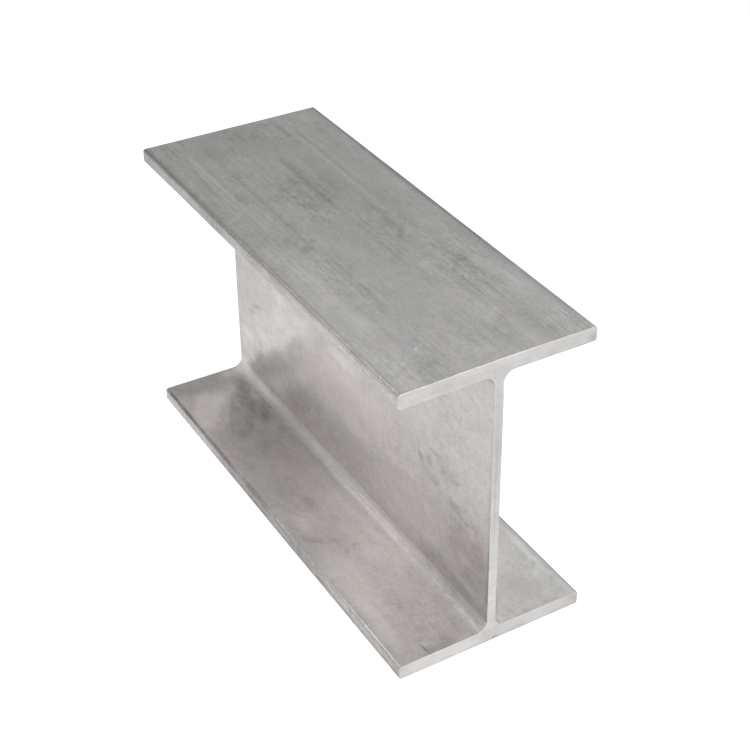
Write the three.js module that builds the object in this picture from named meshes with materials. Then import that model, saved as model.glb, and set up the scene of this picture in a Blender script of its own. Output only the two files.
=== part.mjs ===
// A short offcut of hot-rolled wide-flange steel beam that stands on its lower flange.
//
// Lengths are in millimetres. X runs along the beam, Y across the flanges and Z up. The origin is at
// the level of the ground, under the middle of the beam.
//
// The beam is one piece: hot steel leaves the rolls with its web, its two parallel flanges, the concave
// root fillets between them and the rounded long edges already in the section. The section is drawn
// once, as twelve square corners that each get an arc, and carried along the length between two saw cuts.

import * as THREE from 'three';

// Driving dimensions of the rolled section, nominally 200 mm deep and 31.3 kg per metre.
const SECTION_DEPTH = 210; // from the underside of the lower flange to the top of the upper one
const FLANGE_WIDTH = 134;
const FLANGE_THICKNESS = 10.2;
const WEB_THICKNESS = 6.4;
const ROOT_RADIUS = 7.6; // concave fillet where the web meets a flange
const TOE_RADIUS = 2; // rounded long edges of the flanges

// Length between the two sawn ends.
const BEAM_LENGTH = 345;

// A quarter circle of the outline is drawn with twice this many straight facets.
const ARC_FINENESS = 8;

// Largest share of a wall that one rounded corner may take up.
const LARGEST_CORNER_SHARE = 0.49;

// Colour and finish of pickled steel.
const STEEL_COLOUR = 0xa8a7a4;
const STEEL_ROUGHNESS = 0.5;
const STEEL_METALNESS = 0.85;

/**
 * Lists the section's square corners in anticlockwise order, each with the radius of its arc.
 * The section stands on y = 0 with its web centred on x = 0.
 */
function sectionCorners() {
  const toeX = FLANGE_WIDTH / 2;
  const webX = WEB_THICKNESS / 2;
  const lowerInside = FLANGE_THICKNESS;
  const upperInside = SECTION_DEPTH - FLANGE_THICKNESS;

  const toe = Math.min(TOE_RADIUS, FLANGE_THICKNESS * LARGEST_CORNER_SHARE);
  const clearDepth = upperInside - lowerInside;
  const clearWidth = toeX - webX - toe;
  const root = Math.min(ROOT_RADIUS, clearWidth, clearDepth * LARGEST_CORNER_SHARE);

  return [
    { x: -toeX, y: 0, radius: toe },
    { x: toeX, y: 0, radius: toe },
    { x: toeX, y: lowerInside, radius: toe },
    { x: webX, y: lowerInside, radius: root },
    { x: webX, y: upperInside, radius: root },
    { x: toeX, y: upperInside, radius: toe },
    { x: toeX, y: SECTION_DEPTH, radius: toe },
    { x: -toeX, y: SECTION_DEPTH, radius: toe },
    { x: -toeX, y: upperInside, radius: toe },
    { x: -webX, y: upperInside, radius: root },
    { x: -webX, y: lowerInside, radius: root },
    { x: -toeX, y: lowerInside, radius: toe },
  ];
}

/**
 * Draws a closed outline through square corners and rounds each one with a tangent quarter circle.
 * A corner that turns left is convex, as at a flange's edge. One that turns right is concave, as at a root.
 */
function roundedOutline(corners) {
  const outline = new THREE.Shape();
  corners.forEach((corner, index) => {
    const before = corners.at(index - 1);
    const after = corners[(index + 1) % corners.length];
    const arriving = new THREE.Vector2(corner.x - before.x, corner.y - before.y).normalize();
    const leaving = new THREE.Vector2(after.x - corner.x, after.y - corner.y).normalize();

    const centreX = corner.x + (leaving.x - arriving.x) * corner.radius;
    const centreY = corner.y + (leaving.y - arriving.y) * corner.radius;
    const startAngle = Math.atan2(-leaving.y, -leaving.x);
    const endAngle = Math.atan2(arriving.y, arriving.x);
    const turnsRight = arriving.cross(leaving) < 0;
    outline.absarc(centreX, centreY, corner.radius, startAngle, endAngle, turnsRight);
  });
  outline.closePath();
  return outline;
}

/** Makes the whole beam: the section's outline extruded from one saw cut to the other. */
function makeBeam() {
  const geometry = new THREE.ExtrudeGeometry(roundedOutline(sectionCorners()), {
    depth: BEAM_LENGTH,
    curveSegments: ARC_FINENESS,
    bevelEnabled: false,
  });
  const steel = new THREE.MeshStandardMaterial({
    color: STEEL_COLOUR,
    roughness: STEEL_ROUGHNESS,
    metalness: STEEL_METALNESS,
  });
  const beam = new THREE.Mesh(geometry, steel);
  beam.name = 'h_beam';

  // Two quarter turns lay the extrusion along X, with the outline's x along Y and its y upward.
  beam.rotation.set(Math.PI / 2, Math.PI / 2, 0);
  beam.position.x = -BEAM_LENGTH / 2;
  return beam;
}

const part = new THREE.Group();
part.add(makeBeam());

export default part;
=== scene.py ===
"""Looks of a short sawn length of rolled steel H-beam that stands on a pale floor.

Everything is in metres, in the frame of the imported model: X runs along the beam with the nearer sawn end at
its high side, Y runs across the flanges, Z is up, and the origin lies under the middle of the underside.
Inside a finish the surface's own place is counted in millimetres.
"""

import logging
import math
from dataclasses import dataclass, field, replace
from enum import Enum
from typing import Union

import bpy
import numpy as np
from mathutils import Matrix, Vector


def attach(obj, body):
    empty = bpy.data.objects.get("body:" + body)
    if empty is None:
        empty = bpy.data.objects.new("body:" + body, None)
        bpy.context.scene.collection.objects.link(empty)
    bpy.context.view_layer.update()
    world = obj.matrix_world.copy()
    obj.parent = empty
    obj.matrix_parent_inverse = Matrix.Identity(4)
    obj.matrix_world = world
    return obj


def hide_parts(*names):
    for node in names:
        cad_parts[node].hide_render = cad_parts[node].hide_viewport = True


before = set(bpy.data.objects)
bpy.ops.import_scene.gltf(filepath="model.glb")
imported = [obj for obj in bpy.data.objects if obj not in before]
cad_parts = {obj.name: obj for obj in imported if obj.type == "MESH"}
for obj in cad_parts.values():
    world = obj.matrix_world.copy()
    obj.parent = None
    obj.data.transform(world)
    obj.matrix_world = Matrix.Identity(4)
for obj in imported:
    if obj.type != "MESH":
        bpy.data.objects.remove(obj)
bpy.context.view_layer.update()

LOG = logging.getLogger("h_beam")

# Millimetres, and the distance below which two points are one, in metres.
MM = 0.001
WELD = 0.1 * MM * MM

# The middle value of the noise nodes, and the sockets of a Mix node that are for colours.
NOISE_MIDDLE = 0.5
FIRST_COLOUR, SECOND_COLOUR, BLENDED_COLOUR = 6, 7, 2

Colour = tuple[float, float, float, float]
Triple = tuple[float, float, float]
Pair = tuple[float, float]
WHITE: Colour = (1.0, 1.0, 1.0, 1.0)


class Skin(Enum):
    """The beam's faces by their finish, numbered in the order of the mesh's materials."""

    UPPER = 0
    LOWER = 1
    LEFT_WEB = 2
    LEFT_LEDGE = 3
    RIGHT_CHANNEL = 4
    SAWN = 5


# ---------------------------------------------------------------- shader nodes


class Signal:
    """A plain number that varies over a surface: one output socket, with the sums that are done on it."""

    def __init__(self, nodes: "NodeTree", socket: bpy.types.NodeSocket) -> None:
        """Keeps the socket and the nodes it belongs to.

        Args:
            nodes: The tree where sums on this signal are added.
            socket: The output socket that carries the number.
        """
        self.nodes = nodes
        self.socket = socket

    def _sum(self, operation: str, *terms: "Number") -> "Signal":
        """Adds one Math node.

        Args:
            operation: The Math node's operation.
            terms: Its inputs in order.

        Returns:
            The node's result.
        """
        node = self.nodes.add("ShaderNodeMath", {"operation": operation}, dict(enumerate(terms)))
        return Signal(self.nodes, node.outputs[0])

    def __add__(self, other: "Number") -> "Signal":
        """This plus other."""
        return self._sum("ADD", self, other)

    def __radd__(self, other: float) -> "Signal":
        """Other plus this."""
        return self._sum("ADD", other, self)

    def __sub__(self, other: "Number") -> "Signal":
        """This less other."""
        return self._sum("SUBTRACT", self, other)

    def __rsub__(self, other: float) -> "Signal":
        """Other less this."""
        return self._sum("SUBTRACT", other, self)

    def __mul__(self, other: "Number") -> "Signal":
        """This times other."""
        return self._sum("MULTIPLY", self, other)

    def __rmul__(self, other: float) -> "Signal":
        """Other times this."""
        return self._sum("MULTIPLY", other, self)

    def __abs__(self) -> "Signal":
        """This without its sign."""
        return self._sum("ABSOLUTE", self)

    def least(self, other: "Number") -> "Signal":
        """The smaller of this and other."""
        return self._sum("MINIMUM", self, other)

    def hypotenuse(self, other: "Signal") -> "Signal":
        """The long side of a right triangle whose short sides are this and other."""
        total = self * self + other * other
        return total._sum("SQRT", total)

    def step(self, low: float, high: float, before: float, after: float) -> "Signal":
        """A soft step from one value to another.

        Args:
            low: Where the step starts.
            high: Where it ends.
            before: The value below low.
            after: The value above high.

        Returns:
            The step. It goes from before to after as 3t^2 - 2t^3, where t is the share of the way from low
            to high.
        """
        settings = {"interpolation_type": "SMOOTHSTEP", "clamp": True}
        values = {"Value": self, "From Min": low, "From Max": high, "To Min": before, "To Max": after}
        return Signal(self.nodes, self.nodes.add("ShaderNodeMapRange", settings, values).outputs["Result"])

    def fall(self, low: float, high: float) -> "Signal":
        """A soft step that is 1 below low and 0 above high."""
        return self.step(low, high, 1.0, 0.0)


Number = Union[Signal, float]


@dataclass(frozen=True)
class Mark:
    """A stain, rub or scratch, or a patch of painted shade or light: a soft-edged ellipsoid that darkens or
    pales the skin where it meets it.

    Lengths are in millimetres. A positive depth darkens, a negative one pales. The turn is about each axis,
    in degrees. The core is the share of the reach that has the full depth.
    """

    centre: Triple
    reach: Triple
    depth: float
    turn: Triple = (0.0, 0.0, 0.0)
    core: float = 0.0


@dataclass(frozen=True)
class MarkedFace:
    """A flat face that carries marks.

    The normal is the number of the axis that stands on the face. The level is the face's place on that axis
    and the reach is how far its marks spread to either side of it, both in millimetres.
    """

    normal: int
    level: float
    reach: float

    def _with_normal(self, pair: Pair, upright: float) -> Triple:
        """A pair of values on the face's own two axes, with one for its normal put in its turn."""
        return (*pair[: self.normal], upright, *pair[self.normal :])

    def mark(self, place: Pair, reach: Pair, depth: float, turn: float = 0.0, core: float = 0.0) -> Mark:
        """Makes a mark whose middle lies on the face.

        Args:
            place: Where its middle lies on the face's own two axes.
            reach: How far it spreads along each of them.
            depth: How much it darkens the skin.
            turn: Its turn on the face, in degrees.
            core: The share of the reach that has the full depth.

        Returns:
            The mark.
        """
        centre = self._with_normal(place, self.level)
        spread = self._with_normal(reach, self.reach)
        return Mark(centre, spread, depth, self._with_normal((0.0, 0.0), turn), core)


class NodeTree:
    """A tree of shader nodes, and the few ways in which they are added."""

    def __init__(self, tree: bpy.types.NodeTree) -> None:
        """Starts from a tree with its nodes cleared away.

        Args:
            tree: The tree of a material or of the world.
        """
        tree.nodes.clear()
        self.tree = tree

    def add(self, kind: str, settings: dict | None = None, values: dict | None = None) -> bpy.types.Node:
        """Adds any node.

        Args:
            kind: The node's type.
            settings: Its properties, set before its sockets.
            values: Its inputs by name or number, each a value, a Signal or a socket.

        Returns:
            The node.
        """
        node = self.tree.nodes.new(kind)
        for key, value in (settings or {}).items():
            setattr(node, key, value)
        for key, value in (values or {}).items():
            if isinstance(value, Signal):
                self.tree.links.new(value.socket, node.inputs[key])
            elif isinstance(value, bpy.types.NodeSocket):
                self.tree.links.new(value, node.inputs[key])
            else:
                node.inputs[key].default_value = value
        return node

    def stretched(self, coords: bpy.types.NodeSocket, sizes: Triple) -> bpy.types.NodeSocket:
        """Coordinates counted in steps of the given sizes.

        Args:
            coords: A vector socket.
            sizes: How long one step is along each axis.

        Returns:
            The vector with each part divided by its size.
        """
        values = {0: coords, 1: tuple(1.0 / size for size in sizes)}
        return self.add("ShaderNodeVectorMath", {"operation": "MULTIPLY"}, values).outputs["Vector"]

    def place(self) -> bpy.types.NodeSocket:
        """The surface's own place in the piece's frame, in millimetres."""
        coords = self.add("ShaderNodeTexCoord").outputs["Object"]
        return self.stretched(coords, (MM, MM, MM))

    def axes(self, coords: bpy.types.NodeSocket) -> tuple[Signal, Signal, Signal]:
        """The three parts of a vector socket."""
        parts = self.add("ShaderNodeSeparateXYZ", None, {"Vector": coords}).outputs
        return Signal(self, parts["X"]), Signal(self, parts["Y"]), Signal(self, parts["Z"])

    def cloud(
        self, coords: bpy.types.NodeSocket, sizes: Triple, detail: float = 2.0, roughness: float = 0.5
    ) -> bpy.types.Node:
        """Cloudy noise, as its node.

        Args:
            coords: Where to read it.
            sizes: The size of its clouds along each axis, in the units of coords.
            detail: How many finer layers lie on the first.
            roughness: How strong each finer layer is.

        Returns:
            The noise node, with its outputs about the noise's middle value.
        """
        values = {"Vector": self.stretched(coords, sizes), "Scale": 1.0}
        values |= {"Detail": detail, "Roughness": roughness}
        return self.add("ShaderNodeTexNoise", None, values)

    def noise(
        self, coords: bpy.types.NodeSocket, sizes: Triple, detail: float = 2.0, roughness: float = 0.5
    ) -> Signal:
        """Cloudy noise less its middle value, mostly from -0.5 to 0.5."""
        return Signal(self, self.cloud(coords, sizes, detail, roughness).outputs["Fac"]) - NOISE_MIDDLE

    def ragged(self, coords: bpy.types.NodeSocket, size: float, throw: float) -> bpy.types.NodeSocket:
        """Coordinates pushed about by noise, so that what is drawn on them has ragged outlines.

        Args:
            coords: The vector socket to start from.
            size: The size of the noise's clouds.
            throw: How far the noise can push, in the units of coords.

        Returns:
            The coordinates plus, in each part, twice the throw times the noise less its middle value.
        """
        noise = {0: self.cloud(coords, (size,) * 3).outputs["Color"], 1: (NOISE_MIDDLE,) * 3}
        centred = self.add("ShaderNodeVectorMath", {"operation": "SUBTRACT"}, noise).outputs["Vector"]
        pushed = {0: centred, 1: (2 * throw,) * 3, 2: coords}
        return self.add("ShaderNodeVectorMath", {"operation": "MULTIPLY_ADD"}, pushed).outputs["Vector"]

    def marked(self, coords: bpy.types.NodeSocket, marks: tuple[Mark, ...]) -> Number:
        """How deep the marks lie at each place.

        Each mark turns the coordinates into its own, where its outline is the unit sphere. From its core to
        the outline it falls from its full depth to nothing.

        Args:
            coords: Where to read them, in millimetres.
            marks: The marks.

        Returns:
            The sum of the marks' depths, or plain 0 where there are none.
        """
        total: Number = 0.0
        for mark in marks:
            turn = tuple(math.radians(angle) for angle in mark.turn)
            values = {"Vector": coords, "Location": mark.centre, "Rotation": turn, "Scale": mark.reach}
            own = self.add("ShaderNodeMapping", {"vector_type": "TEXTURE"}, values).outputs["Vector"]
            away = self.add("ShaderNodeVectorMath", {"operation": "LENGTH"}, {0: own}).outputs["Value"]
            total = total + Signal(self, away).step(mark.core, 1.0, mark.depth, 0.0)
        return total

    def blend(self, share: Number, first: object, second: object) -> bpy.types.NodeSocket:
        """One colour turning into another.

        Args:
            share: 0 for the first, 1 for the second.
            first: A colour or a colour socket.
            second: A colour or a colour socket.

        Returns:
            The blended colour.
        """
        settings = {"data_type": "RGBA", "clamp_factor": True}
        node = self.add("ShaderNodeMix", settings, {0: share, FIRST_COLOUR: first, SECOND_COLOUR: second})
        return node.outputs[BLENDED_COLOUR]

    def scaled(self, colour: object, share: Signal) -> bpy.types.NodeSocket:
        """A colour, or the socket of one, made brighter or darker: the vector times the number."""
        node = self.add("ShaderNodeVectorMath", {"operation": "SCALE"}, {0: colour, "Scale": share})
        return node.outputs["Vector"]

    def bump(self, height: Signal, depth: float) -> bpy.types.NodeSocket:
        """A bumped normal.

        Args:
            height: The relief, where 1 is one depth high.
            depth: How high that is, in metres.

        Returns:
            The normal for a shader.
        """
        node = self.add("ShaderNodeBump", None, {"Strength": 1.0, "Distance": depth, "Height": height})
        return node.outputs["Normal"]


class FinishNodes(NodeTree):
    """The nodes of one material."""

    def __init__(self, name: str) -> None:
        """Starts a material with only its output.

        Args:
            name: The material's name.
        """
        self.material = bpy.data.materials.new(name)
        self.material.use_nodes = True
        super().__init__(self.material.node_tree)

    def show(self, shader: bpy.types.NodeSocket) -> bpy.types.Material:
        """Puts a shader on the surface and returns the finished material."""
        self.add("ShaderNodeOutputMaterial", None, {"Surface": shader})
        return self.material

    def metal(self, values: dict) -> bpy.types.Material:
        """Closes the material with its one shader.

        Args:
            values: The shader's sockets by name.

        Returns:
            The finished material.
        """
        return self.show(self.add("ShaderNodeBsdfPrincipled", None, values).outputs["BSDF"])


# ---------------------------------------------------------------- the finishes of the steel


@dataclass(frozen=True)
class Layer:
    """One layer of unevenness in a finish: the size of its clouds in millimetres, and what they change.

    The tone and the relief say how far the clouds change the skin's brightness and its height. The detail
    is the number of finer layers on each cloud, and the fineness is how strong they are.
    """

    sizes: Triple
    tone: float
    relief: float = 0.0
    detail: float = 2.0
    fineness: float = 0.5


def layered(
    nodes: NodeTree, place: bpy.types.NodeSocket, layers: tuple[Layer, ...]
) -> tuple[Signal, Signal]:
    """Adds up layers of cloudy noise.

    Args:
        nodes: The material's nodes.
        place: Where the noise is read, in millimetres.
        layers: The layers.

    Returns:
        The sum of the noises times their tones, and the sum of the noises times their reliefs.
    """
    tone: Number = 0.0
    relief: Number = 0.0
    for layer in layers:
        noise = nodes.noise(place, layer.sizes, layer.detail, layer.fineness)
        tone = tone + layer.tone * noise
        relief = relief + layer.relief * noise
    return tone, relief


# The faces that carry marks are the top, the lower flange's upper side, the left face of the web, the left
# edges of the flanges and the near saw cut. Some marks are stains, scuffs and rolling lines; many are painted
# shadows, painted shade and painted highlights, set where the lamps' light and shade fall on the piece.
TOP = MarkedFace(normal=2, level=210.0, reach=4.0)
LEDGE = MarkedFace(normal=2, level=10.2, reach=6.0)
WEB = MarkedFace(normal=1, level=-3.2, reach=3.0)
TOE = MarkedFace(normal=1, level=-67.0, reach=3.0)
CUT = MarkedFace(normal=0, level=172.0, reach=8.0)

TOP_SMUDGES = (
    TOP.mark((7, -34), (9, 5), 0.27, turn=-55, core=0.1),
    TOP.mark((-1, -27), (5, 3.4), 0.18),
    TOP.mark((-22, -28), (14, 5), 0.12, turn=-10),
    TOP.mark((-61, -20), (9, 14), 0.17, turn=-20),
    TOP.mark((-75, -40), (12, 7), 0.20),
    TOP.mark((19, 24.5), (13, 3.4), 0.22, turn=-38, core=0.1),
    TOP.mark((32, 7), (20, 4.4), 0.13),
    TOP.mark((-80, 0), (14, 3.4), 0.18),
    TOP.mark((2, 25), (14, 5.5), 0.13),
    TOP.mark((-18, 39), (46, 10), 0.13),
    TOP.mark((-22, 25), (14, 6), 0.09),
    TOP.mark((70, 22), (18, 7), 0.14, core=0.2),
    TOP.mark((66, 40), (16, 10), 0.13, turn=-35),
    TOP.mark((100, 36), (56, 18), 0.13, core=0.3),
    TOP.mark((-108, -53.5), (38, 6), 0.10, core=0.3),
    TOP.mark((152, 40), (28, 14), 0.16, core=0.2),
    TOP.mark((97, -50), (22, 12), -0.15),
    TOP.mark((26, -12), (50, 16), -0.08),
    TOP.mark((56, -2), (20, 9), -0.09),
    TOP.mark((136, -35), (3, 2.4), -0.38),
    TOP.mark((130, -29), (9, 3), 0.09),
    TOP.mark((147, 17), (6, 4), -0.10),
    TOP.mark((145, 3), (12, 5), 0.09),
    TOP.mark((104, -56), (120, 17), -0.13, core=0.5),
    TOP.mark((-168, -41), (8, 4), 0.28),
    TOP.mark((-152, -14), (44, 50), 0.13, core=0.2),
    TOP.mark((-55, -31.5), (90, 5), 0.12, core=0.3),
    TOP.mark((-58, 4), (44, 21), 0.21, core=0.2),
    TOP.mark((-98, 8.5), (25, 4.6), 0.25, core=0.2),
    TOP.mark((-66, 23), (42, 11), 0.17),
    TOP.mark((-150, 29), (28, 2.2), 0.12, core=0.2),
    TOP.mark((124, -4), (46, 15), 0.11),
    TOP.mark((146, 15), (30, 20), 0.20),
    TOP.mark((-136, -28), (32, 9), 0.12),
    TOP.mark((162, -37), (12, 8), -0.10),
    TOP.mark((14, -48), (44, 13), -0.12, core=0.2),
    TOP.mark((-147, 56), (5, 3), 0.20),
    TOP.mark((56, 58.5), (60, 9), 0.17, core=0.3),
    TOP.mark((-24, 62), (8, 3), 0.13),
    TOP.mark((48, -49.5), (46, 7), -0.12, core=0.4),
)

TOP_STREAKS_AND_EDGE_SHADING = (
    TOP.mark((-30, 28.5), (48, 1.8), 0.11, core=0.4),
    TOP.mark((104, 38), (30, 1.5), 0.12, core=0.3),
    TOP.mark((96, 34.5), (30, 1.3), -0.07, core=0.3),
    TOP.mark((-85, 33.5), (92, 1.4), -0.13, core=0.6),
    TOP.mark((-90, 37), (80, 1.3), 0.13, core=0.5),
    TOP.mark((4, 34.3), (24, 1.5), -0.11, core=0.3),
    TOP.mark((6, 37.4), (20, 1.5), 0.15, core=0.3),
    TOP.mark((-112, -45), (42, 1.6), -0.16, core=0.6),
    TOP.mark((-118, -50.5), (40, 1.6), 0.13, turn=-5, core=0.4),
    TOP.mark((84, 29.5), (38, 1.6), 0.10, core=0.4),
    TOP.mark((-15, -36), (36, 1.5), -0.07, core=0.2),
    TOP.mark((156, 58), (20, 1.2), 0.14, core=0.5),
    TOP.mark((-60, 62.8), (60, 1.4), 0.12, core=0.4),
    TOP.mark((98, 54.5), (18, 2), -0.10, core=0.2),
    TOP.mark((-150, 30), (24, 1.6), 0.12, core=0.4),
    TOP.mark((-58, 7), (60, 2.4), 0.11, core=0.2),
    # Painted shade: a dark band along the right edge of the top, where the rounded edge shows dark.
    TOP.mark((-24, 64.6), (112, 2.8), 0.28, core=0.5),
    TOP.mark((92, 64.4), (76, 2.8), 0.24, core=0.5),
    # Painted shade and light on the rounded upper left edge: a dark band on the toe, a pale line, and a dark
    # line laid over the edge's highlight.
    Mark((72, -67, 207), (124, 2, 1.8), 0.26, core=0.5),
    Mark((66, -67, 208.8), (124, 1.1, 1.2), -0.16, core=0.4),
    Mark((68, -66.2, 209.6), (92, 1, 1), 0.34, core=0.5),
)

WEB_SCUFFS_SHADOWS_AND_LIGHT = (
    # Scuffs on the near half of the web.
    WEB.mark((91.5, 93), (5.5, 5), 0.26, core=0.2),
    WEB.mark((89, 99), (2.5, 9), 0.15),
    WEB.mark((108, 85), (8, 6), 0.19),
    WEB.mark((130, 80), (14, 7), 0.22),
    WEB.mark((101, 98), (8, 9), 0.24),
    WEB.mark((107, 106.5), (14, 3.8), 0.19),
    WEB.mark((118, 97.5), (8, 2.6), 0.17, turn=-12),
    WEB.mark((131, 98), (9, 3), 0.18, turn=-15),
    WEB.mark((97, 88), (8, 4), 0.12, turn=20),
    WEB.mark((121, 100), (30, 19), 0.14),
    # Painted shade: a dark strip down the web's near edge, where it meets the cut.
    WEB.mark((174, 62), (6.5, 56), 0.38, core=0.3),
    WEB.mark((173, 30), (10, 24), 0.26, core=0.2),
    WEB.mark((173, 98), (10, 34), 0.18, core=0.2),
    WEB.mark((174, 140), (10, 70), 0.16, core=0.2),
    WEB.mark((100, 86), (17, 14), 0.13, core=0.2),
    WEB.mark((150, 152), (18, 5), 0.08, turn=-14),
    WEB.mark((108, 27), (42, 8), 0.14, turn=3, core=0.2),
    WEB.mark((152, 86), (26, 18), 0.10),
    # Painted shade on the web near the cut, darkest low down by the root, with a few streaks.
    WEB.mark((150, 136), (60, 64), 0.12, core=0.4),
    WEB.mark((150, 52), (60, 46), 0.27, core=0.1),
    WEB.mark((147, 34.5), (9, 5.5), 0.20),
    WEB.mark((144, 47), (13, 6), -0.24),
    WEB.mark((156, 66), (11, 4), 0.14, turn=-12),
    WEB.mark((110, 28), (22, 8), 0.10, turn=-14),
    WEB.mark((78, 73), (18, 11), -0.08, turn=20),
    WEB.mark((152, 78), (22, 3), 0.12, turn=-6),
    # Dark streaks on the far half.
    WEB.mark((-141, 79), (15, 2.8), 0.28, turn=-20, core=0.2),
    WEB.mark((-149, 71), (11, 3.4), 0.26, turn=-25),
    # Painted shadow and light at the far end: the diagonal dark edge of the shadow cast by the upper flange,
    # the shade below it and the lit patch beyond it.
    WEB.mark((-132, 58), (14, 8), -0.24),
    WEB.mark((-114, 53), (24, 7), 0.20, turn=-36, core=0.2),
    WEB.mark((-154, 24), (8, 6), 0.26),
    WEB.mark((-158, 46), (26, 9), -0.22, core=0.2),
    WEB.mark((-141, 35), (17, 6), 0.30, turn=-38, core=0.2),
    WEB.mark((-120, 26), (15, 8), -0.18),
    WEB.mark((-164, 36), (8, 7), -0.24),
    WEB.mark((-79, 82), (26, 8), 0.26, turn=-42, core=0.2),
    WEB.mark((-103, 107), (20, 8), -0.18),
    WEB.mark((-108, 33), (28, 11), -0.28, turn=-34),
    WEB.mark((-76, 55), (32, 11), -0.30, turn=-34),
    WEB.mark((-158, 34), (24, 26), -0.16, core=0.2),
    WEB.mark((-168, 108), (20, 20), 0.08),
    WEB.mark((-134, 62), (58, 24), -0.18, core=0.3),
    WEB.mark((-74, 34), (36, 13), 0.15, turn=-34, core=0.1),
    # Painted light and shade over the middle of the web: paler high up, darker low down.
    WEB.mark((-20, 36), (60, 17), 0.06, core=0.3),
    WEB.mark((-22, 80), (130, 38), -0.22, core=0.35),
    WEB.mark((-90, 98), (50, 26), -0.08, turn=-30, core=0.3),
    WEB.mark((-8, 109), (32, 11), -0.32, core=0.1),
    WEB.mark((6, 63), (36, 13), -0.17),
    WEB.mark((58, 70), (15, 9), -0.18),
)

LEDGE_SPOTS_SHADOWS_AND_LIGHT = (
    # Darker along the far end of the ledge.
    LEDGE.mark((-172, -40), (25, 70), 0.17, core=0.55),
    LEDGE.mark((-160, -52), (9, 6), 0.10),
    # Painted light and shadow: the lit patch at the far end beyond the web's shadow, the shadow's dark edge,
    # and shade by the root.
    LEDGE.mark((-130, -53), (31, 12), -0.25, turn=-24, core=0.5),
    LEDGE.mark((-115, -30.5), (42, 12), 0.25, turn=-26, core=0.65),
    LEDGE.mark((-150, -16), (12, 7), 0.32, turn=-15, core=0.2),
    LEDGE.mark((-103, -19), (15, 8), 0.27, turn=-20),
    LEDGE.mark((-163, -58), (12, 4), 0.12, turn=30),
    LEDGE.mark((-76, -56), (40, 13), 0.15, core=0.2),
    LEDGE.mark((-14, -52), (10, 6), 0.10),
    LEDGE.mark((-74, -34), (26, 14), 0.12, turn=-15),
    LEDGE.mark((-22, -30), (40, 19), -0.14),
    LEDGE.mark((-50, -18), (26, 11), -0.17),
    LEDGE.mark((-102, -48), (13, 6), 0.15, turn=-25),
    # Dark and pale spots.
    LEDGE.mark((87, -27), (14, 10), 0.18),
    LEDGE.mark((-82, -15), (8, 5), 0.16),
    LEDGE.mark((6, -39), (13, 8), 0.15, core=0.2),
    LEDGE.mark((27, -31), (8, 4), 0.17, turn=35, core=0.1),
    LEDGE.mark((27, -43), (28, 11), -0.20),
    LEDGE.mark((24, -53), (13, 6), -0.24),
    LEDGE.mark((41, -55), (11, 5), 0.16, turn=45),
    LEDGE.mark((58, -33), (7, 3.5), 0.15, turn=60),
    LEDGE.mark((47, -43), (10, 3.6), 0.18, turn=10),
    LEDGE.mark((64, -43), (9, 3), 0.09, turn=-35),
    LEDGE.mark((15, -53), (12, 5), -0.13, turn=40),
    # Painted light: the ledge paler towards the near end, where the front lamp reaches under the flange.
    LEDGE.mark((46, -23), (84, 20), -0.30, core=0.3),
    LEDGE.mark((56, -27), (6, 4), -0.09),
    LEDGE.mark((86, -53), (66, 18), -0.18, core=0.3),
    Mark((92, -13, 10.2), (50, 6, 4), -0.11, core=0.3),
    LEDGE.mark((124, -38), (9, 7), 0.11),
    LEDGE.mark((152, -31), (26, 20), 0.07),
    LEDGE.mark((166, -31), (11, 15), 0.11),
    LEDGE.mark((167, -45), (9, 1.8), 0.32, turn=6, core=0.2),
    LEDGE.mark((157, -18), (16, 7), 0.17, core=0.2),
    # Painted light: more of the lit patch at the far end, and painted shade by the root.
    LEDGE.mark((-167, -15), (9, 13), -0.30, core=0.2),
    LEDGE.mark((-131, -14.5), (15, 7), -0.34),
    LEDGE.mark((-139, -38), (15, 8), -0.30, turn=-20),
    Mark((-120, -17, 10.2), (38, 12, 4), 0.15, core=0.2),
    # Painted light: paler by the root and at the lip towards the near end.
    Mark((8, -15, 10.2), (70, 9, 5), -0.16, core=0.3),
    LEDGE.mark((132, -58), (38, 8), -0.20, core=0.3),
    LEDGE.mark((171.5, -36), (9, 19), 0.17, core=0.2),
)

# Painted highlight and shade in the root: the fillet's highlight made paler at the far end and darker towards
# the near end, and a dark band of shade on the web above it.
ROOT_PAINTED_HIGHLIGHT_AND_SHADE = (
    Mark((-172, -5, 13), (27, 9, 12), -0.42, core=0.3),
    Mark((-132, -6, 13), (26, 5, 6), -0.14, core=0.3),
    Mark((-80, -6, 12), (40, 6, 6), 0.12, core=0.3),
    Mark((24, -9, 10.8), (72, 4, 3), -0.12, core=0.4),
    Mark((128, -6, 12.4), (72, 4.4, 4.4), 0.26, core=0.4),
    Mark((-115, -8, 11), (44, 4, 4), 0.16, core=0.3),
    WEB.mark((128, 20.5), (60, 8), 0.20, core=0.4),
)

# Painted highlight: narrow strokes that shape the fillet's highlight.
ROOT_PAINTED_HIGHLIGHT_STROKES = (
    Mark((30, -7.2, 11.2), (96, 2, 1.5), 0.10, core=0.4),
    Mark((-46, -8.4, 10.8), (50, 2.4, 1.5), 0.10, core=0.4),
    Mark((14, -3.4, 15.8), (56, 1.6, 3.6), -0.09, core=0.4),
    Mark((148, -3.8, 14.6), (26, 1.6, 2.6), 0.06, core=0.3),
    Mark((66, -5.2, 12.7), (84, 1.7, 1.7), -0.13, core=0.4),
    Mark((92, -9.8, 10.3), (62, 2.2, 1.2), -0.10, core=0.4),
)

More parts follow.
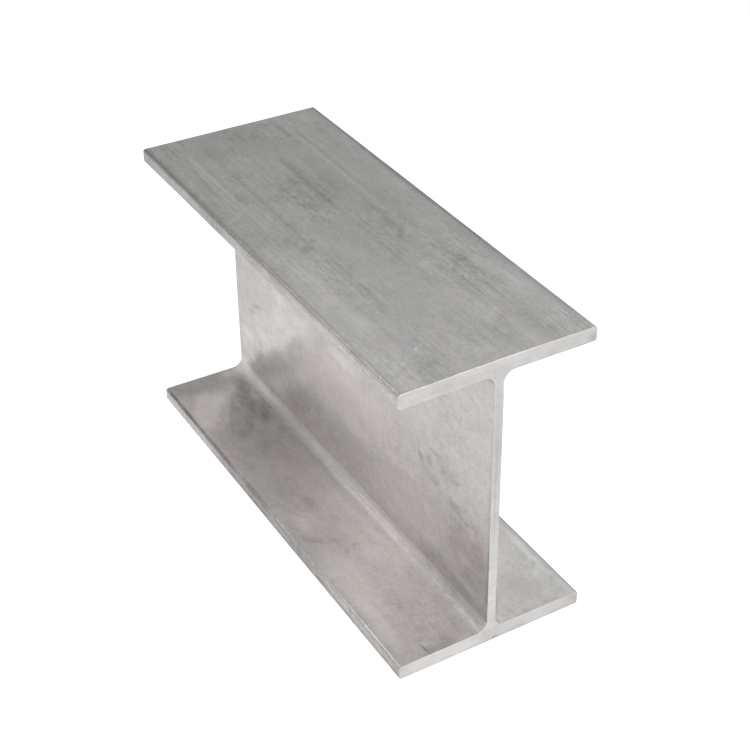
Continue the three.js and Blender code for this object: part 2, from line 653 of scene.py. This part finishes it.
RIGHT_MARKS = (
    LEDGE.mark((150, 40), (26, 16), 0.09),
    LEDGE.mark((110, 34), (34, 22), -0.12, core=0.2),
    LEDGE.mark((120, 60.5), (36, 3.6), -0.16, core=0.2),
    LEDGE.mark((141, 54.5), (9, 3), -0.10, turn=-35),
    LEDGE.mark((134, 58), (9, 1.8), 0.14, turn=-35),
    LEDGE.mark((153, 58.5), (10, 2), 0.16, turn=-35),
    LEDGE.mark((160, 62), (9, 2.2), -0.12),
    LEDGE.mark((169, 46), (5, 8), 0.14),
    LEDGE.mark((169, 29), (5, 7), 0.12),
    LEDGE.mark((152, 16), (18, 2), 0.14, turn=-35, core=0.2),
    Mark((110, 64, 10.2), (62, 2.2, 3), 0.10, core=0.5),
)

LIP_DIRT_AND_EDGE_SHADING = (
    # A dark lip along the far half: edge dirt and painted dark reflection of the rounded edge.
    Mark((-140, -66.2, 10.2), (42, 1.7, 3), 0.54, core=0.4),
    Mark((-82, -66, 10.2), (44, 1.8, 3), 0.44, core=0.4),
    Mark((-22, -65.6, 10.2), (38, 2, 3), 0.34, core=0.3),
    # Painted light and shade on the rounded edge towards the near end: a pale line, and a dark line laid over
    # the edge's highlight.
    Mark((76, -67.2, 8.9), (120, 1.3, 1.3), -0.18, core=0.4),
    Mark((66, -65.8, 10), (74, 1.1, 1), 0.32, core=0.4),
)

UPPER_TOE_MARKS = (
    TOE.mark((115, 204), (96, 7), -0.18, core=0.4),
    TOE.mark((-160, 205), (24, 8), 0.10),
    TOE.mark((-62, 204), (28, 8), 0.20),
    TOE.mark((10, 204), (8, 6), -0.10),
)

LOWER_TOE_MARKS = (
    # Paler at the far end, darker in the middle and along the bottom edge.
    TOE.mark((-140, 3), (56, 8), -0.40, core=0.6),
    TOE.mark((14, 3), (104, 9), 0.41, core=0.5),
    TOE.mark((144, 3), (60, 9), 0.22, core=0.4),
    TOE.mark((0, 1.5), (96, 3.6), 0.34, core=0.4),
    TOE.mark((-66, 4), (26, 8), 0.16, core=0.3),
)

STAINS = (
    Mark((148, -3.2, 55), (34, 4, 16), 0.28, turn=(0, -30, 0), core=0.4),
    LEDGE.mark((-92, -59), (74, 14), 0.16, core=0.3),
    Mark((-58, -4, 24), (60, 5, 18), 0.18, core=0.2),
)

CHANNEL_LAYERS = (
    Layer((60.0, 5.0, 9.0), tone=0.07, relief=0.1),
    Layer((60.0, 40.0, 40.0), tone=0.20),
    Layer((18.0, 13.0, 16.0), tone=0.26, detail=3.0, fineness=0.55),
    Layer((6.0, 4.5, 6.0), tone=0.34, relief=0.1, detail=3.0, fineness=0.6),
    Layer((1.9, 1.7, 1.9), tone=0.38, relief=0.2, fineness=0.6),
)


@dataclass(frozen=True)
class RolledSkin:
    """Pickled, lightly oiled steel as it left the rolls, on one side of the section.

    Places and sizes are in millimetres, and a pair of them is where a zone is full and where it ends. The
    lip is a dark line along each long edge of a flange: edge dirt, and painted dark reflection of the rounded
    edge.

    Attributes:
        name: The material's name.
        flat: The colour of the flat faces.
        marks: Marks with ragged outlines.
        lines: Marks with clean outlines.
        toe: The colour near the flanges' long edges.
        dirt_and_shade: The colour of the lip: edge dirt and painted dark reflection.
        metallic: How much of the skin is bare metal.
        roughness: How dull its gloss is.
        root_roughness: How much duller it is in the root.
        lengthwise: How far the gloss is drawn out by the grain of the rolls.
        crosswise_turn: The share of a whole turn from the grain to the direction in which it is drawn out.
        layers: The skin's unevenness.
        patch_sizes: The size of the patches in which it is more or less uneven.
        patchiness: How far those differ.
        stains: Where the colour turns into rust.
        rust: The colour of the stains.
        relief_depth: How high the relief is, in metres.
        toe_reach: How near the long edges the toe's colour lies.
        toe_unevenness: How much more uneven the skin is there.
        root_reach: How near the root's corner the gloss is duller.
        lip_inset: How far the lip lies in from the long edge.
        lip_level: How far it lies from the level of the top or the floor, whichever is nearer.
        lip_width: How wide it is to either side.
        lip_share: How much of it takes the lip's dark colour at mid-length.
        lip_fade: How much less of it takes that colour for each millimetre towards the near end.
        raggedness: How large the clouds are that push the marks' outlines about, and how far they push.
    """

    name: str
    flat: Colour
    marks: tuple[Mark, ...]
    lines: tuple[Mark, ...] = ()
    toe: Colour = (0.200, 0.1920, 0.1865, 1.0)
    dirt_and_shade: Colour = (0.070, 0.068, 0.065, 1.0)
    metallic: float = 0.5
    roughness: float = 0.24
    root_roughness: float = 0.07
    lengthwise: float = 0.9
    crosswise_turn: float = 0.25
    layers: tuple[Layer, ...] = (
        Layer((150.0, 2.0, 2.0), tone=0.42, relief=0.1),
        Layer((70.0, 40.0, 40.0), tone=0.30),
        Layer((24.0, 16.0, 16.0), tone=0.40, detail=3.0, fineness=0.55),
        Layer((8.0, 5.0, 5.0), tone=0.40, relief=0.1, detail=3.0, fineness=0.6),
        Layer((2.2, 1.7, 1.7), tone=0.54, relief=0.2, fineness=0.6),
    )
    patch_sizes: Triple = (55.0, 28.0, 28.0)
    patchiness: float = 2.6
    stains: tuple[Mark, ...] = ()
    rust: Colour = (0.360, 0.2700, 0.2580, 1.0)
    relief_depth: float = 0.00005
    toe_reach: Pair = (0.6, 3.0)
    toe_unevenness: float = 0.6
    root_reach: Pair = (4.0, 8.0)
    lip_inset: float = 1.4
    lip_level: float = 0.0
    lip_width: Pair = (0.3, 3.4)
    lip_share: float = 0.38
    lip_fade: float = 0.0017
    raggedness: Pair = (7.0, 2.2)

    def material(self, section: "RolledSection") -> bpy.types.Material:
        """Builds the skin's material.

        Args:
            section: The rolled section, for where its faces and edges lie.

        Returns:
            The material.
        """
        nodes = FinishNodes(self.name)
        place = nodes.place()
        along, across, up = nodes.axes(place)
        level = up.least(section.depth / MM - up)
        rim = section.flange_width / 2 / MM - abs(across)
        edge = rim.fall(*self.toe_reach)
        clean = nodes.blend(edge, self.flat, self.toe)
        colour = nodes.blend(nodes.marked(place, self.stains), clean, self.rust)
        uneven, relief = layered(nodes, place, self.layers)
        patches = 1.0 + self.patchiness * nodes.noise(place, self.patch_sizes) + self.toe_unevenness * edge
        # Marks: stains, scuffs and rolling lines, and painted shadows, shade and highlights.
        wear_and_painted_light = nodes.marked(nodes.ragged(place, *self.raggedness), self.marks)
        tone = 1.0 + patches * uneven - wear_and_painted_light - nodes.marked(place, self.lines)
        # The lip: a dark line along the flanges' long edges, edge dirt and painted dark reflection of the
        # rounded edge, fading towards the near end.
        lip = (rim - self.lip_inset).hypotenuse(level - self.lip_level).fall(*self.lip_width)
        share = (self.lip_share - self.lip_fade * along) * lip
        web = section.web_thickness / 2 / MM
        root = (abs(across) - web).hypotenuse(level - section.flange_thickness / MM)
        return nodes.metal(
            {
                "Base Color": nodes.blend(share, nodes.scaled(colour, tone), self.dirt_and_shade),
                "Metallic": self.metallic,
                "Roughness": self.roughness + self.root_roughness * root.fall(*self.root_reach),
                "Anisotropic": self.lengthwise,
                "Anisotropic Rotation": self.crosswise_turn,
                "Normal": nodes.bump(relief, self.relief_depth),
            }
        )


# Painted light: the faces in the channel get a paler steel than the outer faces, to lift the shade that falls
# in the channel.
OUTER_STEEL: Colour = (0.222, 0.2185, 0.2120, 1.0)

UPPER_SKIN = RolledSkin(
    "upper_outer_steel",
    flat=OUTER_STEEL,
    marks=TOP_SMUDGES + UPPER_TOE_MARKS,
    lines=TOP_STREAKS_AND_EDGE_SHADING,
)
LOWER_SKIN = RolledSkin(
    "lower_outer_steel",
    flat=OUTER_STEEL,
    marks=LOWER_TOE_MARKS,
    lines=LIP_DIRT_AND_EDGE_SHADING,
    toe=(0.204, 0.1910, 0.1850, 1.0),
)
LEFT_WEB_SKIN = RolledSkin(
    "left_web_steel",
    # Painted light: paler than the outer steel.
    flat=(0.334, 0.3150, 0.3055, 1.0),
    marks=WEB_SCUFFS_SHADOWS_AND_LIGHT + ROOT_PAINTED_HIGHLIGHT_AND_SHADE,
    lines=ROOT_PAINTED_HIGHLIGHT_STROKES,
    stains=STAINS,
    layers=CHANNEL_LAYERS,
    patchiness=1.4,
    lip_share=0.0,
    lip_fade=0.0,
)
LEFT_LEDGE_SKIN = replace(
    LEFT_WEB_SKIN,
    name="left_ledge_steel",
    marks=LEDGE_SPOTS_SHADOWS_AND_LIGHT + ROOT_PAINTED_HIGHLIGHT_AND_SHADE,
    lines=ROOT_PAINTED_HIGHLIGHT_STROKES + LIP_DIRT_AND_EDGE_SHADING,
    toe=(0.300, 0.2850, 0.2770, 1.0),
)
RIGHT_SKIN = RolledSkin(
    "right_channel_steel",
    # Painted light: paler than the outer steel.
    flat=(0.350, 0.3455, 0.3370, 1.0),
    marks=RIGHT_MARKS,
    layers=CHANNEL_LAYERS,
    patchiness=1.4,
    lip_inset=0.8,
    lip_level=10.2,
    lip_width=(0.3, 2.8),
)


@dataclass(frozen=True)
class SawnSkin:
    """Bright steel where the saw went through, with fine marks across the cut, a few stains and painted shade
    in the nick.

    The steel's colour has three parts, because the tone scales it as a vector. The relief's depth is in
    metres.
    """

    steel: Triple = (0.336, 0.328, 0.322)
    metallic: float = 0.6
    roughness: float = 0.5
    layers: tuple[Layer, ...] = (
        Layer((30.0, 40.0, 0.8), tone=0.20, relief=0.6, fineness=0.6),
        Layer((2.0, 1.6, 1.6), tone=0.30, relief=0.5, detail=3.0, fineness=0.6),
        Layer((25.0, 14.0, 10.0), tone=0.35),
    )
    relief_depth: float = 0.00004
    marks: tuple[Mark, ...] = (
        CUT.mark((64, 204), (5, 5), 0.26),
        CUT.mark((44, 207), (12, 3), 0.08),
        CUT.mark((0, 210.2), (70, 1.5), -0.14, core=0.5),
        CUT.mark((-20, 204), (60, 6), 0.08),
        CUT.mark((64.5, 5), (3, 5), 0.14),
        CUT.mark((20, 3), (12, 4), 0.10),
        CUT.mark((-36, 5), (36, 9), -0.14, core=0.5),
        CUT.mark((34, 6), (38, 8), -0.12, core=0.4),
        CUT.mark((-0.6, 46), (5, 46), -0.13, core=0.4),
        CUT.mark((-0.6, 160), (5, 46), 0.09, core=0.4),
        CUT.mark((-0.4, 104), (1.1, 90), 0.10, core=0.4),
        CUT.mark((-2.8, 60), (1.2, 5), 0.16),
        # Painted shade in the nick.
        CUT.mark((3.2, 1.5), (2.2, 1.5), 0.55, core=0.3),
    )
    raggedness: Pair = (4.0, 1.2)

    def material(self, _section: "RolledSection") -> bpy.types.Material:
        """Builds the cut face's material.

        Args:
            _section: The rolled section, which changes nothing here.

        Returns:
            The material.
        """
        nodes = FinishNodes("sawn_steel_face")
        place = nodes.place()
        uneven, relief = layered(nodes, place, self.layers)
        tone = 1.0 + uneven - nodes.marked(nodes.ragged(place, *self.raggedness), self.marks)
        return nodes.metal(
            {
                "Base Color": nodes.scaled(self.steel, tone),
                "Metallic": self.metallic,
                "Roughness": self.roughness,
                "Normal": nodes.bump(relief, self.relief_depth),
            }
        )


# ---------------------------------------------------------------- the beam


@dataclass(frozen=True)
class Sheet:
    """The section's one flat sheet of quads, welded from its blocks.

    The kept numbers say which of the blocks' points the sheet has, and the quads count them in the sheet's
    own order. The rim is the outline as directed edges with the sheet on their left, and the loop lists the
    outline's points.
    """

    kept: np.ndarray
    quads: np.ndarray
    rim: np.ndarray
    loop: np.ndarray


@dataclass(frozen=True)
class RolledSection:
    """The cross-section, its sizes in metres and how finely it is divided."""

    depth: float = 0.210
    flange_width: float = 0.134
    flange_thickness: float = 0.0102
    web_thickness: float = 0.0064
    root_radius: float = 0.0076
    toe_radius: float = 0.002
    toe_steps: int = 6
    ledge_steps: int = 22
    root_steps: int = 8
    web_steps: int = 8
    rung_steps: int = 6
    web_levels: int = 64

    def _flange(self, inset: float) -> np.ndarray:
        """The upper flange as a ladder of upright rungs.

        The outer rail runs from toe to toe over the top. The inner rail runs from toe to toe below, down the
        root arcs and straight across the web. Both have the same number of points at the same places across,
        and a rung's points lie at even shares of it. Every arc is a quarter circle: a point of a toe arc is
        its centre plus the radius times (cosine, sine) of the turn.

        Args:
            inset: How far the outline is drawn in all round.

        Returns:
            The points (steps across, steps down, 2) as (across, up).
        """
        half = self.flange_width / 2 - inset
        top, below = self.depth - inset, self.depth - self.flange_thickness + inset
        toe, root, web = self.toe_radius - inset, self.root_radius + inset, self.web_thickness / 2 - inset
        turn = np.linspace(0.0, np.pi / 2, self.toe_steps + 1)
        over, beside = toe * np.sin(turn) - toe, toe - toe * np.cos(turn) - half
        outer_toe = np.stack([beside, top + over], axis=1)
        inner_toe = np.stack([beside, below - over], axis=1)
        flat = np.linspace(-half + toe, -web - root, self.ledge_steps + 1)[1:]
        ledge = np.stack([flat, np.full_like(flat, below)], axis=1)
        bend = np.linspace(0.0, np.pi / 2, self.root_steps + 1)[1:]
        arc = np.stack([root * np.sin(bend) - root - web, below - root + root * np.cos(bend)], axis=1)
        core = np.linspace(-web, web, self.web_steps + 1)[1:-1]
        neck = np.stack([core, np.full_like(core, below - root)], axis=1)
        left = np.concatenate([inner_toe, ledge, arc])
        inner = np.concatenate([left, neck, left[::-1] * (-1, 1)])
        outer = np.stack([inner[:, 0], np.full(len(inner), top)], axis=1)
        outer[: len(outer_toe)] = outer_toe
        outer[-len(outer_toe) :] = outer_toe[::-1] * (-1, 1)
        share = np.linspace(0.0, 1.0, self.rung_steps + 1)[None, :, None]
        return outer[:, None, :] * (1 - share) + inner[:, None, :] * share

    def _web(self, inset: float) -> np.ndarray:
        """The web between the root arcs, as an even grid.

        Args:
            inset: How far its sides are drawn in.

        Returns:
            The points (steps across, steps down, 2) as (across, up).
        """
        reach = self.flange_thickness + self.root_radius
        half = self.web_thickness / 2 - inset
        across = np.linspace(-half, half, self.web_steps + 1)
        up = np.linspace(self.depth - reach, reach, self.web_levels + 1)
        return np.stack(np.meshgrid(across, up, indexing="ij"), axis=-1)

    def blocks(self, inset: float = 0.0) -> tuple[np.ndarray, np.ndarray, np.ndarray]:
        """The upper flange, the web and the lower flange, which is the upper one turned over mid-depth.

        Args:
            inset: How far the outline is drawn in all round.

        Returns:
            The three grids of points.
        """
        upper = self._flange(inset)
        return upper, self._web(inset), upper * (1, -1) + (0, self.depth)

    def points(self, sheet: Sheet, inset: float) -> np.ndarray:
        """The sheet's points as (n, 2) of (across, up), with the outline drawn in by the inset."""
        return np.concatenate([block.reshape(-1, 2) for block in self.blocks(inset)])[sheet.kept]

    def skins(self, places: np.ndarray) -> np.ndarray:
        """Which skin lies on the outline at each place (n, 2) of (across, up).

        A channel begins half-way round the toes' inner arcs, and its web ends half-way round the root arcs.
        The rest is parted at half the depth.

        Args:
            places: Places on the outline.

        Returns:
            The skins' numbers (n,).
        """
        across, up = places[:, 0], places[:, 1]
        bend = self.toe_radius * (1 - math.cos(math.pi / 4))
        level = np.minimum(up, self.depth - up)
        inner = (level > self.flange_thickness / 2) & (np.abs(across) < self.flange_width / 2 - bend)
        web = level - self.flange_thickness > np.abs(across) - self.web_thickness / 2
        left = np.where(web, Skin.LEFT_WEB.value, Skin.LEFT_LEDGE.value)
        side = np.where(across < 0, left, Skin.RIGHT_CHANNEL.value)
        outer = np.where(up > self.depth / 2, Skin.UPPER.value, Skin.LOWER.value)
        return np.where(inner, side, outer)

    def sheet(self) -> Sheet:
        """Welds the blocks into one sheet.

        Points at the same place become one, and each quad is turned anticlockwise as seen from the near end.
        A directed edge whose reverse is missing is on the rim.

        Returns:
            The sheet.
        """
        blocks = self.blocks()
        starts = np.cumsum([0] + [block.shape[0] * block.shape[1] for block in blocks])
        grids = [grid_quads(*block.shape[:2]) + start for block, start in zip(blocks, starts)]
        quads = np.concatenate(grids)
        every = np.concatenate([block.reshape(-1, 2) for block in blocks])
        steps = np.round(every / WELD)
        _, kept, same = np.unique(steps, axis=0, return_index=True, return_inverse=True)
        quads = same.reshape(-1)[quads]
        a, b, c, d = (every[kept][quads[:, i]] for i in range(4))
        backwards = np.cross(c - a, d - b) < 0
        quads[backwards] = quads[backwards][:, ::-1]
        edges = np.stack([quads, np.roll(quads, -1, axis=1)], axis=-1).reshape(-1, 2)
        there = edges[:, 0] * len(kept) + edges[:, 1]
        back = edges[:, 1] * len(kept) + edges[:, 0]
        rim = edges[~np.isin(there, back)]
        return Sheet(kept, quads, rim, np.unique(rim))


def grid_quads(rows: int, columns: int) -> np.ndarray:
    """The quads of a grid whose points are counted row by row.

    Args:
        rows: How many points the first parameter has.
        columns: How many the second has.

    Returns:
        The quads as (n, 4) point numbers.
    """
    corner = (np.arange(rows - 1)[:, None] * columns + np.arange(columns - 1)[None, :]).reshape(-1)
    return np.stack([corner, corner + columns, corner + columns + 1, corner + 1], axis=1)


def point_normals(points: np.ndarray, faces: np.ndarray) -> np.ndarray:
    """A normal at each point, the mean of its faces' normals by their area.

    Args:
        points: Places (n, 3).
        faces: Quads (m, 4).

    Returns:
        Unit normals (n, 3).
    """
    corners = points[faces]
    area = np.cross(corners[:, 2] - corners[:, 0], corners[:, 3] - corners[:, 1])
    total = np.zeros_like(points)
    for corner in range(faces.shape[1]):
        np.add.at(total, faces[:, corner], area)
    return total / np.linalg.norm(total, axis=1, keepdims=True)


@dataclass(frozen=True)
class RolledWaves:
    """The long shallow waves that the rolls leave in the skin.

    The height is how deep they lie on average. Along and across give the shortest and the longest wave.
    """

    height: float = 0.00012
    count: int = 14
    along: Pair = (0.09, 0.26)
    across: Pair = (0.035, 0.09)
    seed: int = 11

    def depth(self, points: np.ndarray) -> np.ndarray:
        """How far each point lies below the true surface.

        It is the height times the mean of 1 - cos(phase) over long waves in random directions, so no point
        is ever above the surface. The waves are longer along the beam than across it.

        Args:
            points: Places (n, 3).

        Returns:
            The depths (n,).
        """
        dice = np.random.default_rng(self.seed)
        along = 2 * np.pi / dice.uniform(*self.along, self.count)
        across = 2 * np.pi / dice.uniform(*self.across, (self.count, 2))
        across = across * dice.choice([-1, 1], (self.count, 2))
        start = dice.uniform(0.0, 2 * np.pi, self.count)
        phase = points @ np.column_stack([along, across]).T + start
        return self.height / self.count * np.sum(1 - np.cos(phase), axis=1)


@dataclass(frozen=True)
class NearCut:
    """The nearer saw cut: slightly out of square, with a small nick in its lowest edge.

    The cut leans by the skew across the flanges and by the lean up the depth. On the upper flange it is
    hollowed by the hollow times the distance from the toes, which sets in from a share of the depth, and is
    full one ramp higher.
    """

    skew: float = 0.014
    lean: float = 0.008
    hollow: float = 0.012
    hollow_start: float = 0.85
    hollow_ramp: float = 0.1
    nick_across: float = 0.0039
    nick_half_width: float = 0.0011
    nick_depth: float = 0.0003
    nick_reach: float = 0.0014

    def recess(self, points: np.ndarray, section: RolledSection) -> np.ndarray:
        """How far the cut falls short of square at each point.

        Args:
            points: Places (n, 3).
            section: The rolled section.

        Returns:
            The skew times the place across from the left toes, plus the lean times the place up, plus the
            hollow, (n,).
        """
        across, up = points[:, 1], points[:, 2]
        half = section.flange_width / 2
        start, ramp = section.depth * self.hollow_start, section.depth * self.hollow_ramp
        upper = np.clip((up - start) / ramp, 0.0, 1.0)
        hollow = self.hollow * (half - np.abs(across)) * upper
        return self.skew * (across + half) + self.lean * up + hollow

    def nick(self, points: np.ndarray, end: float) -> np.ndarray:
        """How far the nick draws each point in.

        Args:
            points: Places (n, 3).
            end: Where the cut lies along X.

        Returns:
            The depth times a bell curve across, and one each in the distance from the end and from
            below, (n,).
        """
        spread = (self.nick_reach, self.nick_half_width, self.nick_reach)
        away = (points - (end, self.nick_across, 0.0)) / spread
        return self.nick_depth * np.exp(-np.sum(away * away, axis=1))


@dataclass
class SteelBeam:
    """The one piece: a short length of rolled H-section with two sawn ends.

    Lengths are in metres. The edge break is the radius at the sawn edges, and the break rings divide it. The
    ease rings lead from there to the full step. The grain origin is the middle of the texture space.
    """

    section: RolledSection = field(default_factory=RolledSection)
    waves: RolledWaves = field(default_factory=RolledWaves)
    near_cut: NearCut = field(default_factory=NearCut)
    length: float = 0.345
    edge_break: float = 0.0004
    break_rings: int = 3
    ease_rings: int = 7
    step: float = 0.0032
    grain_origin: Triple = (0.0, -1000.0, 0.0)

    def stations(self) -> tuple[np.ndarray, np.ndarray]:
        """Where the rings of points lie along the beam.

        At each end the broken edge is a quarter turn of the edge-break radius. Behind it the rings' spacing
        grows evenly to the full step.

        Returns:
            Each ring's place along X, and how far it is drawn in from the section's outline.
        """
        turn = np.linspace(0.0, np.pi / 2, self.break_rings + 1)[1:]
        ease = np.cumsum(np.linspace(self.edge_break, self.step, self.ease_rings))
        half = self.length / 2
        shoulder = half - self.edge_break
        reach = shoulder - ease[-1]
        middle = np.linspace(-reach, reach, 2 * int(reach / self.step) + 1)
        broken = shoulder + self.edge_break * np.sin(turn)
        near = np.concatenate([shoulder - ease[-2::-1], [shoulder], broken])
        near_inset = np.concatenate([np.zeros(self.ease_rings), self.edge_break * (1 - np.cos(turn))])
        place = np.concatenate([-near[::-1], middle, near])
        inset = np.concatenate([near_inset[::-1], np.zeros(len(middle)), near_inset])
        return place, inset

    def _body(self) -> tuple[np.ndarray, np.ndarray, np.ndarray]:
        """The square-cut beam: the section's outline carried from ring to ring, closed by two whole sheets.

        The first and the last ring keep every point of the sheet, and those between keep only its outline.

        Returns:
            The points (n, 3), the quads (m, 4) and each quad's skin (m,).
        """
        sheet = self.section.sheet()
        place, inset = self.stations()
        rings, size = len(place), len(sheet.kept)
        flats = np.stack([self.section.points(sheet, drawn) for drawn in inset])
        along = np.broadcast_to(place[:, None, None], (rings, size, 1))
        solid = np.concatenate([along, flats], axis=2)
        points = np.concatenate([solid[0], solid[-1], solid[1:-1, sheet.loop].reshape(-1, 3)])

        between = (rings - 2, len(sheet.loop))
        number = np.empty((rings, size), dtype=np.int64)
        number[0] = np.arange(size)
        number[-1] = np.arange(size) + size
        number[1:-1, sheet.loop] = 2 * size + np.arange(math.prod(between)).reshape(between)
        start, end = number[:, sheet.rim[:, 0]], number[:, sheet.rim[:, 1]]
        walls = np.stack([start[:-1], end[:-1], end[1:], start[1:]], axis=-1).reshape(-1, 4)
        faces = np.concatenate([sheet.quads[:, ::-1], sheet.quads + size, walls])

        steps = np.arange(rings - 1)
        sawn = (steps < self.break_rings) | (steps >= rings - 1 - self.break_rings)
        rolled = self.section.skins(flats[rings // 2][sheet.rim].mean(axis=1))
        caps = np.full(2 * len(sheet.quads), Skin.SAWN.value)
        sides = np.where(sawn[:, None], Skin.SAWN.value, rolled[None, :]).reshape(-1)
        return points, faces, np.concatenate([caps, sides])

    def mesh(self) -> bpy.types.Mesh:
        """Gives the square-cut beam its waves, its leaning cut and its nick.

        Every point moves inwards only: by the waves' depth against its normal, by the cut's recess times its
        share of the way from the far end to the near one, and by the nick backwards and up. The middle of
        the texture space lies far to one side. This makes the shader's own tangent run along the beam, as
        the grain of the gloss needs.

        Returns:
            The closed mesh.
        """
        points, faces, skin = self._body()
        share = points[:, :1] / self.length + 0.5  # 0 at the far end, 1 at the near one
        recess = self.near_cut.recess(points, self.section)[:, None] * share
        nick = self.near_cut.nick(points, self.length / 2)[:, None]
        sunk = point_normals(points, faces) * self.waves.depth(points)[:, None]
        points = points - sunk - recess * (1, 0, 0) + nick * (-1, 0, 1)
        mesh = bpy.data.meshes.new("rolled_beam")
        mesh.from_pydata(points.tolist(), [], faces.tolist())
        mesh.polygons.foreach_set("material_index", skin.astype(np.int32))
        mesh.polygons.foreach_set("use_smooth", np.ones(len(faces), dtype=bool))
        mesh.use_auto_texspace = False
        mesh.texspace_location = self.grain_origin
        mesh.update()
        mesh.normals_split_custom_set_from_vertices(point_normals(points, faces).tolist())
        return mesh

    def build(self) -> bpy.types.Object:
        """Builds the beam, dresses it and puts it in the CAD beam's place.

        Returns:
            The finished piece.
        """
        piece = bpy.data.objects.new("rolled_steel_beam", self.mesh())
        bpy.context.scene.collection.objects.link(piece)
        finishes = (UPPER_SKIN, LOWER_SKIN, LEFT_WEB_SKIN, LEFT_LEDGE_SKIN, RIGHT_SKIN, SawnSkin())
        for finish in finishes:  # in the order of Skin
            piece.data.materials.append(finish.material(self.section))
        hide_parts("h_beam")
        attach(piece, "root")
        return piece


# ---------------------------------------------------------------- the studio


@dataclass(frozen=True)
class Softbox:
    """A square white lamp that stands at one point and looks at another."""

    name: str
    stand: Triple
    size: float
    watts: float
    aim: Triple = (0.0, 0.0, 0.1)

    def build(self) -> None:
        """Puts the lamp in the scene."""
        light = bpy.data.lights.new(self.name, "AREA")
        light.shape = "SQUARE"
        light.size = self.size
        light.energy = self.watts
        lamp = bpy.data.objects.new(self.name, light)
        lamp.location = self.stand
        ahead = Vector(self.aim) - Vector(self.stand)
        lamp.rotation_euler = ahead.to_track_quat("-Z", "Y").to_euler()
        bpy.context.scene.collection.objects.link(lamp)


@dataclass(frozen=True)
class Viewpoint:
    """The camera: where it stands, what it looks at, and its lens.

    The roll is in degrees about the line of sight. The lens and the sensor are in millimetres.
    """

    stand: Triple = (0.7872, -0.4336, 0.7126)
    aim: Triple = (0.0197, 0.0053, 0.1099)
    lens: float = 78.43
    roll: float = -0.50
    sensor: float = 36.0
    clip: Pair = (0.01, 50.0)

    def build(self) -> None:
        """Makes the camera and sets it as the scene's own."""
        data = bpy.data.cameras.new("viewpoint")
        data.lens = self.lens
        data.sensor_width = self.sensor
        data.clip_start, data.clip_end = self.clip
        camera = bpy.data.objects.new("viewpoint", data)
        ahead = (Vector(self.aim) - Vector(self.stand)).normalized()
        level = ahead.cross(Vector((0.0, 0.0, 1.0))).normalized()
        right = Matrix.Rotation(math.radians(-self.roll), 3, ahead) @ level
        turn = Matrix((right, right.cross(ahead), -ahead)).transposed().to_4x4()
        camera.matrix_world = Matrix.Translation(Vector(self.stand)) @ turn
        bpy.context.scene.collection.objects.link(camera)
        bpy.context.scene.camera = camera


@dataclass(frozen=True)
class Studio:
    """A pale floor, an even white surround and a few soft lamps.

    The floor's glow and the surround's light are strengths, where 1 is white.
    """

    floor_reach: float = 6.0
    floor_colour: Colour = (0.80, 0.80, 0.80, 1.0)
    floor_glow: float = 0.55
    surround: float = 0.41
    lamps: tuple[Softbox, ...] = (
        Softbox("front_lamp", (0.566, 0.0, 0.666), size=0.30, watts=8.1),
        Softbox("left_lamp", (0.0, -0.773, 0.307), size=0.30, watts=5.5),
        Softbox("left_back_lamp", (-0.489, -0.283, 0.666), size=0.26, watts=0.65),
        Softbox("right_back_lamp", (-0.410, 0.580, 0.480), size=0.30, watts=0.24),
    )

    def _seen(self, nodes: NodeTree) -> Signal:
        """Tells the rays by which a thing is seen from those that light something else.

        Args:
            nodes: The tree of a material or of the world.

        Returns:
            1 for rays that come straight from the camera or by way of a mirror or glass, else 0.
        """
        path = nodes.add("ShaderNodeLightPath").outputs
        names = ("Is Camera Ray", "Is Glossy Ray", "Is Transmission Ray")
        straight, mirrored, through = (Signal(nodes, path[name]) for name in names)
        return (straight + mirrored + through).least(1.0)

    def _floor(self) -> None:
        """Lays a plain pale floor, which glows a little where it is seen, so that only shade shows."""
        reach = self.floor_reach
        corners = [(-reach, -reach, 0.0), (reach, -reach, 0.0), (reach, reach, 0.0), (-reach, reach, 0.0)]
        mesh = bpy.data.meshes.new("floor")
        mesh.from_pydata(corners, [], [(0, 1, 2, 3)])
        nodes = FinishNodes("pale_floor")
        plain = nodes.add("ShaderNodeBsdfDiffuse", None, {"Color": self.floor_colour}).outputs["BSDF"]
        glow = nodes.add("ShaderNodeEmission", None, {"Strength": self.floor_glow}).outputs["Emission"]
        both = nodes.add("ShaderNodeAddShader", None, {0: plain, 1: glow}).outputs["Shader"]
        seen = nodes.add("ShaderNodeMixShader", None, {0: self._seen(nodes), 1: plain, 2: both})
        mesh.materials.append(nodes.show(seen.outputs["Shader"]))
        floor = bpy.data.objects.new("floor", mesh)
        bpy.context.scene.collection.objects.link(floor)

    def _surround(self) -> None:
        """Surrounds the scene with plain light that is white where it is seen."""
        world = bpy.data.worlds.new("surround")
        world.use_nodes = True
        nodes = NodeTree(world.node_tree)
        soft = nodes.add("ShaderNodeBackground", None, {"Color": WHITE, "Strength": self.surround})
        white = nodes.add("ShaderNodeBackground", None, {"Color": WHITE, "Strength": 1.0})
        links = {0: self._seen(nodes), 1: soft.outputs["Background"], 2: white.outputs["Background"]}
        mixed = nodes.add("ShaderNodeMixShader", None, links).outputs["Shader"]
        nodes.add("ShaderNodeOutputWorld", None, {"Surface": mixed})
        bpy.context.scene.world = world

    def build(self) -> None:
        """Sets the floor, the surround and the lamps."""
        self._floor()
        self._surround()
        for lamp in self.lamps:
            lamp.build()
        bpy.context.scene.view_settings.view_transform = "Standard"


def main() -> None:
    """Builds the viewpoint, the beam and the studio, and reports each."""
    logging.basicConfig(level=logging.INFO, format="%(name)s: %(message)s")
    Viewpoint().build()
    LOG.info("the viewpoint is set")
    beam = SteelBeam().build()
    LOG.info("%s has %d points and %d faces", beam.name, len(beam.data.vertices), len(beam.data.polygons))
    Studio().build()
    LOG.info("the studio is set")


if __name__ == "__main__":
    main()
